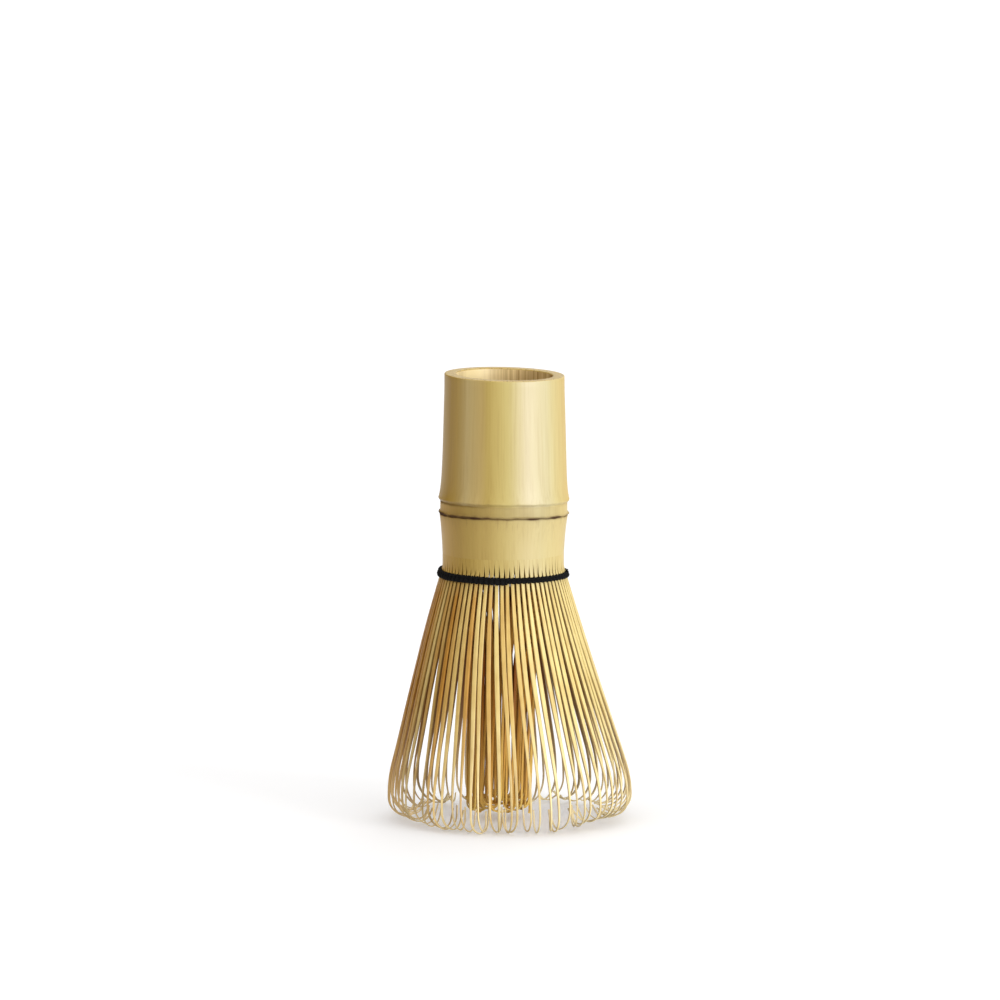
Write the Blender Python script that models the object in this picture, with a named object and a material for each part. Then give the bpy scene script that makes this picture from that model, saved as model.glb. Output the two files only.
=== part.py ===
"""A bamboo tea whisk, standing on its tines.

One length of bamboo culm makes the whole whisk: the upper internode is the handle, and the wall
below the node is split into fine tines. Every second tine leans out into the skirt, the others
lean in to a bundle, and a black cotton thread, woven between them, holds the two rows apart.

Metres, +Z up. The origin is on the whisk's axis, on the surface that the tines stand on.
Run it with blender --background --python part.py, or from Blender's text editor.
"""

import math

import bmesh
import bpy
import numpy as np

MM = 0.001

# Overall sizes
OVERALL_HEIGHT = 106.0 * MM
SKIRT_DIAMETER = 57.4 * MM
THREAD_HEIGHT = 58.7 * MM  # the thread's middle, above the surface that the tines stand on

# The culm that the whisk is cut from
RIM_DIAMETER = 28.4 * MM
CULM_WALL = 2.8 * MM
NODE_ABOVE_THREAD = 17.2 * MM  # the scar on top of the node
NODE_BAND = 2.65 * MM  # from the upper scar down to the sheath scar
NODE_SWELLING = 1.5 * MM  # how far the node stands out from the internode above it
BAND_DEPTH = 0.4 * MM  # how far the band between the scars lies below the swelling
SHEATH_RIDGE = 0.3 * MM
SWELLING_LENGTH = 6.5 * MM  # the length over which the upper swelling dies away
WAIST_INSET = 0.15 * MM  # the lower internode's waist, against the rim
SHOULDER_SWELLING = 1.15 * MM
SHOULDER_LENGTH = 7.5 * MM
SEPTUM_THICKNESS = 2.6 * MM
SEPTUM_BELOW_SCAR = 0.4 * MM  # from the upper scar down to the septum's top
COLLAR_ABOVE_THREAD = 4.6 * MM  # the solid collar ends here, and the tines begin
EDGE_ROUND = 0.3 * MM

# Tines
TINE_PAIRS = 75
OUTER_GROUP = 3  # outer tines that spring from one root strip
INNER_GROUP = 5
OUTER_STRIP = 1.8 * MM  # height of the root strip, above the slits between its tines
FIT_GAP = 0.3 * MM  # between neighbouring pieces

OUTER_WIDTH_TIP = 0.50 * MM
OUTER_DEPTH_ROOT = 0.70 * MM
OUTER_DEPTH_TIP = 0.30 * MM
ROOT_BEND_RADIUS = 6.0 * MM  # where the tine leaves its root strip, above the thread
SHOULDER_RADIUS = 30.0 * MM  # where the flare turns down
HOOK_RADIUS = 6.5 * MM  # where the tine turns in, down to its foot
FOOT_RADIUS = 4.5 * MM  # the tine stands on the flat in the middle of this bend
FOOT_ANGLE = math.radians(30)
CURL_RADIUS = 2.5 * MM  # from the foot to the tip
CURL_ANGLE = math.radians(30)

INNER_WIDTH_ROOT = 0.40 * MM
INNER_WIDTH_TIP = 0.30 * MM
INNER_DEPTH_ROOT = 0.55 * MM
INNER_DEPTH_TIP = 0.30 * MM
BUNDLE_DIAMETER = 14.6 * MM  # across the middle of the outermost layer of the inner tines
LAYER_STEP = 0.80 * MM  # between the inner tines' layers, inwards
LAYER_LIFT = 1.5 * MM  # between the lowest points of the layers, upwards
BUNDLE_CLEARANCE = 1.5 * MM  # under the lowest inner tines
INNER_LAYERS = (0, 1, 2, 0, 1)  # the layer of each tine of an inner group
INNER_LEAN = math.radians(20)
INNER_ROOT_RADIUS = 10.0 * MM  # the bend just below the thread
INNER_WAIST_RADIUS = 30.0 * MM  # the bend that turns the tine down into the bundle
INNER_HOOK_RADIUS = 1.6 * MM
INNER_HOOK_ANGLE = math.radians(120)

# Thread
THREAD_DIAMETER = 0.80 * MM
THREAD_ROWS = 2
BACK_ROW_HEIGHT = 1.2 * MM
KNOT_RADIUS = 0.45 * MM
KNOT_AZIMUTH = math.radians(-8)

# Facets
CULM_SIDES = 40
KNOT_SIDES = 12

# Places that follow from the sizes above
RIM_RADIUS = RIM_DIAMETER / 2
BORE_RADIUS = RIM_RADIUS - CULM_WALL
NODE_HEIGHT = THREAD_HEIGHT + NODE_ABOVE_THREAD
SHEATH_HEIGHT = NODE_HEIGHT - NODE_BAND
COLLAR_END = THREAD_HEIGHT + COLLAR_ABOVE_THREAD
WAIST_RADIUS = RIM_RADIUS - WAIST_INSET
TINE_TOP = COLLAR_END - FIT_GAP
OUTER_ROOT_RADIUS = RIM_RADIUS - OUTER_DEPTH_ROOT / 2
TINE_PITCH = math.tau / TINE_PAIRS
OUTER_WIDTH_ROOT = TINE_PITCH * (RIM_RADIUS - OUTER_DEPTH_ROOT) - FIT_GAP

# Materials: base colour as sRGB, and roughness
BAMBOO_SKIN = ("#d9bd73", 0.42)
BAMBOO_TINE = ("#dcbf78", 0.50)
BAMBOO_BUNDLE = ("#b1793a", 0.55)
BLACK_COTTON = ("#0c0b0d", 0.85)


def clear_scene():
    """Remove every object, so that the script gives the same result each time it runs."""
    for item in list(bpy.data.objects):
        bpy.data.objects.remove(item)


def linear_colour(code):
    """The linear RGBA of an sRGB colour code such as #d9bd73."""
    srgb = np.array([int(code[i : i + 2], 16) for i in (1, 3, 5)]) / 255
    linear = np.where(srgb <= 0.04045, srgb / 12.92, ((srgb + 0.055) / 1.055) ** 2.4)
    return (*linear, 1.0)


def make_material(name, look):
    """A plain material with a colour and a roughness."""
    colour, roughness = look
    material = bpy.data.materials.new(name)
    material.use_nodes = True
    shader = material.node_tree.nodes["Principled BSDF"]
    shader.inputs["Base Color"].default_value = linear_colour(colour)
    shader.inputs["Roughness"].default_value = roughness
    return material


def add_object(name, mesh, look):
    """Put a mesh in the scene under the name of its piece, with a material of its own."""
    item = bpy.data.objects.new(name, mesh)
    bpy.context.scene.collection.objects.link(item)
    item.data.materials.clear()
    item.data.materials.append(make_material(name, look))
    return item


def turned_mesh(name, outline, sides):
    """A turned solid: a closed outline of (radius, height) points swept once round the Z axis."""
    body = bmesh.new()
    points = [body.verts.new((radius, 0, height)) for radius, height in outline]
    edges = [
        body.edges.new((point, points[(i + 1) % len(points)]))
        for i, point in enumerate(points)
        if max(outline[i][0], outline[(i + 1) % len(points)][0]) > 0
    ]
    bmesh.ops.spin(
        body,
        geom=points + edges,
        axis=(0, 0, 1),
        cent=(0, 0, 0),
        angle=math.tau,
        steps=sides,
        use_merge=True,
    )
    bmesh.ops.remove_doubles(body, verts=body.verts, dist=0.001 * MM)
    bmesh.ops.recalc_face_normals(body, faces=body.faces)
    mesh = bpy.data.meshes.new(name)
    body.to_mesh(mesh)
    body.free()
    mesh.shade_smooth()
    mesh.set_sharp_from_angle(angle=math.radians(35))
    return mesh


# --- Handle -------------------------------------------------------------------------------------


def upper_radius(height):
    """The culm's radius above the node: the internode, and a swelling that dies away upwards."""
    rise = height - NODE_HEIGHT
    return RIM_RADIUS + NODE_SWELLING * math.exp(-rise / SWELLING_LENGTH)


def lower_radius(height):
    """The culm's radius below the node: a shoulder that dies away down to the waist."""
    drop = SHEATH_HEIGHT - height
    return WAIST_RADIUS + SHOULDER_SWELLING * math.exp(-drop / SHOULDER_LENGTH)


def handle_outline():
    """Half of the culm's section, from the septum's top outwards, round to its underside."""
    septum_top = NODE_HEIGHT - SEPTUM_BELOW_SCAR
    septum_bottom = septum_top - SEPTUM_THICKNESS
    lip_height = OVERALL_HEIGHT - EDGE_ROUND
    swelling_foot = NODE_HEIGHT + NODE_SWELLING
    upper = np.geomspace(lip_height - NODE_HEIGHT, swelling_foot - NODE_HEIGHT, 6)
    lower = np.linspace(SHEATH_HEIGHT - SHEATH_RIDGE, COLLAR_END, 6)
    band_radius = upper_radius(swelling_foot) - BAND_DEPTH
    return [
        (0, septum_top),
        (BORE_RADIUS, septum_top),
        (BORE_RADIUS, lip_height),
        (BORE_RADIUS + EDGE_ROUND, OVERALL_HEIGHT),
        (RIM_RADIUS - EDGE_ROUND, OVERALL_HEIGHT),
        *((upper_radius(NODE_HEIGHT + rise), NODE_HEIGHT + rise) for rise in upper),
        (upper_radius(swelling_foot), NODE_HEIGHT + BAND_DEPTH),
        (band_radius, NODE_HEIGHT),
        (band_radius, SHEATH_HEIGHT + SHEATH_RIDGE),
        (band_radius + SHEATH_RIDGE, SHEATH_HEIGHT),
        *((lower_radius(height), height) for height in lower),
        (BORE_RADIUS, COLLAR_END),
        (BORE_RADIUS, septum_bottom),
        (0, septum_bottom),
    ]


def build_handle():
    """The handle: an open internode, the node with its septum, and the collar above the tines."""
    add_object("handle", turned_mesh("handle", handle_outline(), CULM_SIDES), BAMBOO_SKIN)


# --- Tines --------------------------------------------------------------------------------------


def trace(radius, height, strokes):
    """The middle line of a tine, drawn downwards in the plane through the whisk's axis.

    Each stroke is (length, turn, pieces): a straight or round stretch that turns the tine
    outwards by turn. Returns each point's radius, height, lean from straight down, and distance
    along the tine.
    """
    lean, walked = 0.0, 0.0
    points = [(radius, height, lean, walked)]
    for length, turn, pieces in strokes:
        step, half_turn = length / pieces, turn / pieces / 2
        chord = step * np.sinc(half_turn / math.pi)
        for _ in range(pieces):
            radius += chord * math.sin(lean + half_turn)
            height -= chord * math.cos(lean + half_turn)
            lean += 2 * half_turn
            walked += step
            points.append((radius, height, lean, walked))
    return np.array(points).T


def outer_line():
    """The outer tine: out from its root strip, down along the flare, and in round the hook.

    The flare is the straight line that is tangent to the bend at the root and to the shoulder.
    """
    bends = ROOT_BEND_RADIUS + SHOULDER_RADIUS
    hook_turn = (math.pi - FOOT_ANGLE) / 2
    out = (SKIRT_DIAMETER - OUTER_DEPTH_TIP) / 2 - OUTER_ROOT_RADIUS - bends
    down = TINE_TOP - OUTER_STRIP
    down -= (HOOK_RADIUS + OUTER_DEPTH_TIP / 2) * math.sin(hook_turn)
    straight = math.sqrt(out**2 + down**2 - bends**2)
    lean = math.atan2(out, down) + math.atan2(bends, straight)
    strokes = [
        (OUTER_STRIP, 0, 1),
        (ROOT_BEND_RADIUS * lean, lean, 1),
        (straight, 0, 1),
        (SHOULDER_RADIUS * lean, -lean, 2),
        (HOOK_RADIUS * hook_turn, -hook_turn, 3),
        (FOOT_RADIUS * FOOT_ANGLE, -FOOT_ANGLE, 1),
        (CURL_RADIUS * CURL_ANGLE, -CURL_ANGLE, 1),
    ]
    return trace(OUTER_ROOT_RADIUS, TINE_TOP, strokes)


def outer_radius(height):
    """The radius of the outer tine's middle line at a height on its flare."""
    radii, heights = outer_line()[:2]
    flare = slice(1, 4)
    return float(np.interp(-height, -heights[flare], radii[flare]))


def back_row_radius():
    """The outside of the thread behind the outer tines, at the top of its row."""
    top = THREAD_HEIGHT + BACK_ROW_HEIGHT / 2
    return outer_radius(top) - OUTER_DEPTH_ROOT / 2 - FIT_GAP


def inner_root_radius():
    """The inner tine's middle line at its root, just inside the thread's back row."""
    return back_row_radius() - THREAD_DIAMETER - FIT_GAP - INNER_DEPTH_ROOT / 2


def inner_line(layer):
    """The inner tine: in from the thread to its layer of the bundle, down, and in at the tip."""
    bends = INNER_ROOT_RADIUS + INNER_WAIST_RADIUS
    inwards = inner_root_radius() - BUNDLE_DIAMETER / 2 + layer * LAYER_STEP
    slant = (inwards - bends * (1 - math.cos(INNER_LEAN))) / math.sin(INNER_LEAN)
    drop = bends * math.sin(INNER_LEAN) + slant * math.cos(INNER_LEAN)
    lowest = BUNDLE_CLEARANCE + layer * LAYER_LIFT + INNER_DEPTH_TIP / 2
    hanging = THREAD_HEIGHT - drop - lowest - INNER_HOOK_RADIUS
    strokes = [
        (TINE_TOP - THREAD_HEIGHT, 0, 1),
        (INNER_ROOT_RADIUS * INNER_LEAN, -INNER_LEAN, 1),
        (slant, 0, 1),
        (INNER_WAIST_RADIUS * INNER_LEAN, INNER_LEAN, 1),
        (hanging, 0, 1),
        (INNER_HOOK_RADIUS * INNER_HOOK_ANGLE, -INNER_HOOK_ANGLE, 2),
    ]
    return trace(inner_root_radius(), TINE_TOP, strokes)


def tine_surface(line, azimuth, widths, depths, pivot_radius):
    """Corners of a four-sided tine, in its group's frame: X outwards, Y along the hinge.

    The tine tapers down to the last two stretches, which are its tip.
    """
    radius, height, lean, walked = line
    share = np.minimum(walked / walked[-3], 1)
    width = widths[0] + share * (widths[1] - widths[0])
    depth = depths[0] + share * (depths[1] - depths[0])
    outwards = np.array([math.cos(azimuth), math.sin(azimuth), 0])
    sideways = np.array([-math.sin(azimuth), math.cos(azimuth), 0])
    upwards = np.array([0, 0, 1])
    middle = np.outer(radius, outwards) + np.outer(height - THREAD_HEIGHT, upwards)
    middle[:, 0] -= pivot_radius
    across = np.outer(width / 2, sideways)
    through = np.outer(depth / 2 * np.cos(lean), outwards)
    through += np.outer(depth / 2 * np.sin(lean), upwards)
    corners = (middle - across - through, middle + across - through)
    corners += (middle + across + through, middle - across + through)
    return np.stack(corners, axis=1)


def tine_group_mesh(name, tines):
    """One solid: neighbouring tines, each a bar of stacked sections, joined by a root strip.

    The strip fills the space between the tines over their first stretch, and below it the slits
    between them are open. A section's corners run inner left, inner right, outer right, outer left.
    """
    body = bmesh.new()
    bars = [
        [[body.verts.new(corner) for corner in section] for section in sections]
        for sections in tines
    ]
    last = len(bars) - 1
    for number, rings in enumerate(bars):
        for stretch, (upper, lower) in enumerate(zip(rings, rings[1:])):
            for i in range(4):
                joined_right = i == 1 and number < last
                joined_left = i == 3 and number > 0
                if stretch == 0 and (joined_right or joined_left):
                    continue
                j = (i + 1) % 4
                body.faces.new((upper[i], upper[j], lower[j], lower[i]))
        body.faces.new(rings[0][::-1])
        body.faces.new(rings[-1])
    for left, right in zip(bars, bars[1:]):
        top = (left[0][1], right[0][0], right[0][3], left[0][2])
        bottom = (left[1][1], right[1][0], right[1][3], left[1][2])
        body.faces.new(top[::-1])
        body.faces.new(bottom)
        body.faces.new((top[0], top[1], bottom[1], bottom[0]))
        body.faces.new((top[2], top[3], bottom[3], bottom[2]))
    bmesh.ops.recalc_face_normals(body, faces=body.faces)
    mesh = bpy.data.meshes.new(name)
    body.to_mesh(mesh)
    body.free()
    return mesh


def place_groups(name, mesh, look, count, pivot_radius, first_azimuth):
    """Place count copies of a tine group round the whisk, each with its origin on its hinge."""
    for number in range(count):
        azimuth = first_azimuth + number * math.tau / count
        item = add_object(f"{name}_{number + 1:02d}", mesh.copy(), look)
        item.location = (
            pivot_radius * math.cos(azimuth),
            pivot_radius * math.sin(azimuth),
            THREAD_HEIGHT,
        )
        item.rotation_euler = (0, 0, azimuth)


def build_outer_tines():
    """The skirt: groups of outer tines, each hinged where the thread holds them."""
    line = outer_line()
    pivot_radius = outer_radius(THREAD_HEIGHT)
    widths = (OUTER_WIDTH_ROOT, OUTER_WIDTH_TIP)
    depths = (OUTER_DEPTH_ROOT, OUTER_DEPTH_TIP)
    azimuths = [(i - (OUTER_GROUP - 1) / 2) * TINE_PITCH for i in range(OUTER_GROUP)]
    tines = [tine_surface(line, a, widths, depths, pivot_radius) for a in azimuths]
    mesh = tine_group_mesh("outer_tines", tines)
    count = TINE_PAIRS // OUTER_GROUP
    place_groups("outer_tines", mesh, BAMBOO_TINE, count, pivot_radius, 0.0)


def build_inner_tines():
    """The bundle: groups of inner tines, set midway between the outer tines."""
    widths = (INNER_WIDTH_ROOT, INNER_WIDTH_TIP)
    depths = (INNER_DEPTH_ROOT, INNER_DEPTH_TIP)
    pivot_radius = inner_root_radius()
    tines = []
    for i, layer in enumerate(INNER_LAYERS):
        azimuth = (i - (INNER_GROUP - 1) / 2) * TINE_PITCH
        line = inner_line(layer)
        tines.append(tine_surface(line, azimuth, widths, depths, pivot_radius))
    mesh = tine_group_mesh("inner_tines", tines)
    count = TINE_PAIRS // INNER_GROUP
    place_groups("inner_tines", mesh, BAMBOO_BUNDLE, count, pivot_radius, TINE_PITCH / 2)


# --- Thread -------------------------------------------------------------------------------------


def front_row_radius():
    """The inside of the thread in front of the outer tines, at the bottom of its rows."""
    bottom = THREAD_HEIGHT - THREAD_ROWS * THREAD_DIAMETER / 2
    return outer_radius(bottom) + OUTER_DEPTH_ROOT / 2 + FIT_GAP


def front_row_outline():
    """Half of the front turns' section: flat against the tines, round outside in each row."""
    half_thread = THREAD_DIAMETER / 2
    inside = front_row_radius()
    outline = [(inside, THREAD_HEIGHT + THREAD_ROWS * half_thread)]
    for row in range(THREAD_ROWS):
        middle = THREAD_HEIGHT + (THREAD_ROWS - 1 - 2 * row) * half_thread
        for angle in np.radians((60, 20, -20, -60)):
            radius = inside + half_thread * (1 + math.cos(angle))
            outline.append((radius, middle + half_thread * math.sin(angle)))
    outline.append((inside, THREAD_HEIGHT - THREAD_ROWS * half_thread))
    return outline


def back_row_outline():
    """Half of the back turns' section, in the space between the outer and the inner tines."""
    outside = back_row_radius()
    inside = outside - THREAD_DIAMETER
    top = THREAD_HEIGHT + BACK_ROW_HEIGHT / 2
    bottom = THREAD_HEIGHT - BACK_ROW_HEIGHT / 2
    return [(inside, top), (outside, top), (outside, bottom), (inside, bottom)]


def build_thread():
    """The thread: its turns in front of the outer tines, those behind them, and the knot."""
    front = turned_mesh("thread_front", front_row_outline(), CULM_SIDES)
    add_object("thread_front", front, BLACK_COTTON)
    back = turned_mesh("thread_back", back_row_outline(), CULM_SIDES)
    add_object("thread_back", back, BLACK_COTTON)
    ball = bmesh.new()
    bmesh.ops.create_uvsphere(
        ball, u_segments=KNOT_SIDES, v_segments=KNOT_SIDES // 2, radius=KNOT_RADIUS
    )
    mesh = bpy.data.meshes.new("thread_knot")
    ball.to_mesh(mesh)
    ball.free()
    mesh.shade_smooth()
    knot = add_object("thread_knot", mesh, BLACK_COTTON)
    knot_from_axis = front_row_radius() + KNOT_RADIUS
    knot.location = (
        knot_from_axis * math.cos(KNOT_AZIMUTH),
        knot_from_axis * math.sin(KNOT_AZIMUTH),
        THREAD_HEIGHT + THREAD_ROWS * THREAD_DIAMETER / 2 + FIT_GAP + KNOT_RADIUS,
    )


def main():
    clear_scene()
    build_handle()
    build_outer_tines()
    build_inner_tines()
    build_thread()


main()
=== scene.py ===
"""A bamboo tea whisk, standing on its tines: its looks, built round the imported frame.

The culm is a turned section, each tine is a small section carried down its own bent line, and the
thread is a strand wound round the outer tines. Metres, +Z up, with the camera's side at -Y.
"""

import math
from functools import partial

import bmesh
import bpy
import numpy as np
from bpy.props import FloatProperty, FloatVectorProperty, IntProperty, PointerProperty
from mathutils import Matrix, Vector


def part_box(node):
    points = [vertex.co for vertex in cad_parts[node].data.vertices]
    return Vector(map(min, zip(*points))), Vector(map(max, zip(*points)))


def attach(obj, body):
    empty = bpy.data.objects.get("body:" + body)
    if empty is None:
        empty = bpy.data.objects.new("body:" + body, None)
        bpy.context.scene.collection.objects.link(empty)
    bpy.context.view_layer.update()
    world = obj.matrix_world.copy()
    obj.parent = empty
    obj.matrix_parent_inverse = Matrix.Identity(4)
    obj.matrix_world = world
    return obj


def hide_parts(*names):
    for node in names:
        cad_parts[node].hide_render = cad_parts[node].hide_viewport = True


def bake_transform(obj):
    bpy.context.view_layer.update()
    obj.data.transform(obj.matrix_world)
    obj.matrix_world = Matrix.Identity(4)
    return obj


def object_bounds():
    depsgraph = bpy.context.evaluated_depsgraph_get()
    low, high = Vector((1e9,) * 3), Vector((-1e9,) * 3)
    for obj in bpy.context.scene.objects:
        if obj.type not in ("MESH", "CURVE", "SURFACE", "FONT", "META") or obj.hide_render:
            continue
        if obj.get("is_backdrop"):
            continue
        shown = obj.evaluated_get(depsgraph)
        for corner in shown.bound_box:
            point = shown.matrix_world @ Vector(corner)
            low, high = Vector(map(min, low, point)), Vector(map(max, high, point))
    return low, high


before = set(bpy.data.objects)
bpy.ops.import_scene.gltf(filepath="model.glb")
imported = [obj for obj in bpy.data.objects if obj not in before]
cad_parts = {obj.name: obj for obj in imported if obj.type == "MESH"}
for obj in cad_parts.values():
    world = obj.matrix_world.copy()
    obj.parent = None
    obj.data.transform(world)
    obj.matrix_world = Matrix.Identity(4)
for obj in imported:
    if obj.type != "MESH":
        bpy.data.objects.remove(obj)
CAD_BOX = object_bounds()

bl_info = {
    "name": "Bamboo tea whisk",
    "version": (1, 0, 0),
    "blender": (4, 5, 0),
    "location": "3D View > Sidebar > Tea whisk",
    "description": "Builds the culm, the tines and the thread of a bamboo tea whisk",
    "category": "Object",
}

MM = 0.001
HANDLE = "handle"
OUTER_GROUPS = 25
INNER_GROUPS = 15
THREAD_MIDDLE = (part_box("thread_front")[0].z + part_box("thread_front")[1].z) / 2
# The height where the collar ends and the slits between the tines begin.
COLLAR_END = THREAD_MIDDLE + 4.9 * MM
# The inner tines' radius at their roots.
INNER_ROOT = 12.13 * MM
# The skirt and the bundle are twisted against the collar by this much.
SKIRT_TURN = math.radians(1.2)
# How far the thread falls to the right, as a slope.
THREAD_SLANT = 0.0157
# How far a tine's faces are crowned, as a share of its half depth.
CROWN = 0.04
# Points round the culm, round a strand, and along a row of thread.
CULM_SIDES, STRAND_SIDES, ROW_STATIONS = 300, 12, 1200
# Metres from the middle of the studio's floor to its edge.
FLOOR_REACH = 12.0
# The skin's colour bands round the axis, above the node and below it, as in round_the_axis.
# They also hold painted shade at the left and a painted highlight at the front right.
UPPER_BANDS_AND_PAINTED_LIGHT = (
    (0.0, "#d9be78"),
    (0.22, "#cfb067"),
    (0.33, "#b89431"),
    (0.36, "#c9ab59"),
    (0.395, "#d2bf88"),
    (0.44, "#c6b072"),
    (0.455, "#c6b168"),
    (0.51, "#c9ba7a"),
    (0.56, "#d3c8a2"),
    (0.62, "#d5cba2"),
    (0.645, "#d4c690"),
    (0.72, "#d5b968"),
    (1.0, "#d9be78"),
)
LOWER_BANDS_AND_PAINTED_LIGHT = (
    (0.0, "#d9be78"),
    (0.3, "#dfb75b"),
    (0.4, "#c3a85b"),
    (0.5, "#c7b576"),
    (0.6, "#d4c795"),
    (0.7, "#dcc785"),
    (1.0, "#d9be78"),
)
# The inner tines' roots: dark brown, the pith side's colour and painted shade in the gaps under the
# thread.
PITH_BROWN_AND_PAINTED_SHADE = ((0.0, "#7e4e1a"), (1.0, "#7e4e1a"))
# What a Mix node and a Math node do.
BLEND = {"data_type": "RGBA", "blend_type": "MIX"}
TINT = {"data_type": "RGBA", "blend_type": "MULTIPLY"}
TIMES = {"operation": "MULTIPLY"}
CLAMPED_TIMES = {"operation": "MULTIPLY", "use_clamp": True}
WHITE = (1, 1, 1, 1)


def linear_colour(code):
    """The linear RGBA of an sRGB colour code such as #d9bd73."""
    srgb = np.array([int(code[i : i + 2], 16) for i in (1, 3, 5)]) / 255
    linear = np.where(srgb <= 0.04045, srgb / 12.92, ((srgb + 0.055) / 1.055) ** 2.4)
    return (*linear.tolist(), 1.0)


# --- Sizes and colours --------------------------------------------------------------------------


def length(name, description, default):
    """A property in metres."""
    return FloatProperty(name=name, description=description, default=default, unit="LENGTH")


def finish_colour(name, description, code):
    """A colour property, from its sRGB code."""
    return FloatVectorProperty(
        name=name, description=description, size=4, default=linear_colour(code), subtype="COLOR"
    )


class WhiskCulm(bpy.types.PropertyGroup):
    """The culm that the whisk is cut from."""

    height: length(
        "Height", "From the surface that the tines stand on to the rim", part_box("handle")[1].z
    )
    rim_diameter: length("Rim diameter", "Across the cut rim, outside", 28.4 * MM)
    wall: length("Wall", "The culm's wall at the rim", 2.8 * MM)
    node_above_thread: length(
        "Node above thread", "From the thread up to the scar on top of the node", 17.2 * MM
    )
    node_band: length("Node band", "From the upper scar down to the sheath scar", 2.65 * MM)
    node_swelling: length(
        "Node swelling", "How far the node stands out from the rim's radius", 1.5 * MM
    )
    rim_slant: FloatProperty(
        name="Rim slant",
        description="How far the rim's saw cut is out of square",
        default=math.radians(1.3),
        subtype="ANGLE",
    )


class WhiskTines(bpy.types.PropertyGroup):
    """The tines that the culm's wall is split into."""

    pairs: IntProperty(
        name="Tine pairs", description="Outer tines, and as many inner ones", default=75
    )
    skirt_diameter: length(
        "Skirt diameter", "Across the outer tines where they turn in", 57.4 * MM
    )
    outer_width: length("Outer tine width", "Width of an outer tine at the thread", 0.75 * MM)
    outer_depth: length("Outer tine depth", "Thickness of an outer tine at the thread", 0.70 * MM)
    bundle_diameter: length(
        "Bundle diameter", "Across the middle of the outermost inner tines", 14.6 * MM
    )
    unevenness: FloatProperty(
        name="Unevenness",
        description="How far the tines stray from an even spread, 1 for hand work",
        default=1.0,
        subtype="FACTOR",
    )


class WhiskThread(bpy.types.PropertyGroup):
    """The cotton thread woven round the outer tines."""

    diameter: length("Thread diameter", "Across the twisted cotton", 0.86 * MM)
    lay: length("Lay", "Length along the thread in which one ply goes once round", 2.4 * MM)


class WhiskColours(bpy.types.PropertyGroup):
    """The finishes' main colours. The skin's own, with painted shade and a painted highlight, are
    in the two band tables above.
    """

    # This colour paints the scar and also the painted shade along the node's lines and band.
    scar: finish_colour("Scar", "The sheath's scar round the node", "#43260c")
    outer: finish_colour("Outer tines", "Split bamboo near the skin", "#f2e09c")
    # Deeper and more orange than the outer tines', partly as painted shade inside the bundle.
    inner: finish_colour("Inner tines", "Split bamboo from inside the wall", "#e4ae48")
    cotton: finish_colour("Cotton", "The dyed thread", "#040405")


class WhiskStudio(bpy.types.PropertyGroup):
    """The camera's place."""

    distance: length("Camera distance", "From the whisk's axis, along the floor", 2.553)
    camera_height: length("Camera height", "Above the floor", 0.4227)
    aim_height: length("Aim height", "Where the camera's axis meets the whisk's", 76.0 * MM)
    aside: length(
        "Camera aside", "How far left of the whisk's axis the camera stands", 1.06 * MM
    )
    lens: FloatProperty(
        name="Lens", description="Focal length", default=392.3, subtype="DISTANCE_CAMERA"
    )


# --- Meshes -------------------------------------------------------------------------------------


def smoothstep(value, start, end):
    """0 at start and 1 at end, along 3t^2 - 2t^3 between them."""
    t = np.clip((value - start) / (end - start), 0, 1)
    return t * t * (3 - 2 * t)


def ripple(azimuth, waves, seed):
    """A smooth wave round the whisk, about -1 to 1: a sum of cosines with whole wave numbers up
    to waves and seeded phases and sizes."""
    random = np.random.default_rng(seed)
    numbers = np.arange(1, waves + 1)
    sizes = random.normal(size=waves)
    phases = random.uniform(0, math.tau, waves)
    total = (sizes * np.cos(azimuth[..., None] * numbers + phases)).sum(-1)
    return total / np.sqrt((sizes**2).sum())


def make_piece(name, points, faces, material, values, crease=50):
    """A closed mesh from its points and faces, smooth up to a crease angle in degrees, with its
    own values stored by point."""
    mesh = bpy.data.meshes.new(name)
    mesh.from_pydata(points.reshape(-1, 3).tolist(), [], faces)
    shell = bmesh.new()
    shell.from_mesh(mesh)
    bmesh.ops.recalc_face_normals(shell, faces=shell.faces)
    shell.to_mesh(mesh)
    shell.free()
    mesh.shade_smooth()
    mesh.set_sharp_from_angle(angle=math.radians(crease))
    for label, numbers in values.items():
        numbers = np.asarray(numbers, np.float32)
        is_vector = numbers.size == 3 * len(mesh.vertices)
        kind, field = ("FLOAT_VECTOR", "vector") if is_vector else ("FLOAT", "value")
        layer = mesh.attributes.new(label, kind, "POINT")
        layer.data.foreach_set(field, numbers.ravel())
    mesh.materials.append(material)
    piece = bpy.data.objects.new(name, mesh)
    bpy.context.scene.collection.objects.link(piece)
    return piece


def tube_faces(rods, stations, sides, closed=False):
    """Faces of several tubes whose points lie in the order rod, station, side: four-cornered
    faces between neighbouring stations, and one flat face at each end of an open tube."""
    index = np.arange(rods * stations * sides).reshape(rods, stations, sides)
    here = index if closed else index[:, :-1]
    below = np.roll(index, -1, 1) if closed else index[:, 1:]
    walls = np.stack([here, np.roll(here, -1, 2), np.roll(below, -1, 2), below], -1)
    faces = walls.reshape(-1, 4).tolist()
    if not closed:
        faces += index[:, 0, ::-1].tolist() + index[:, -1].tolist()
    return faces


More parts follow.
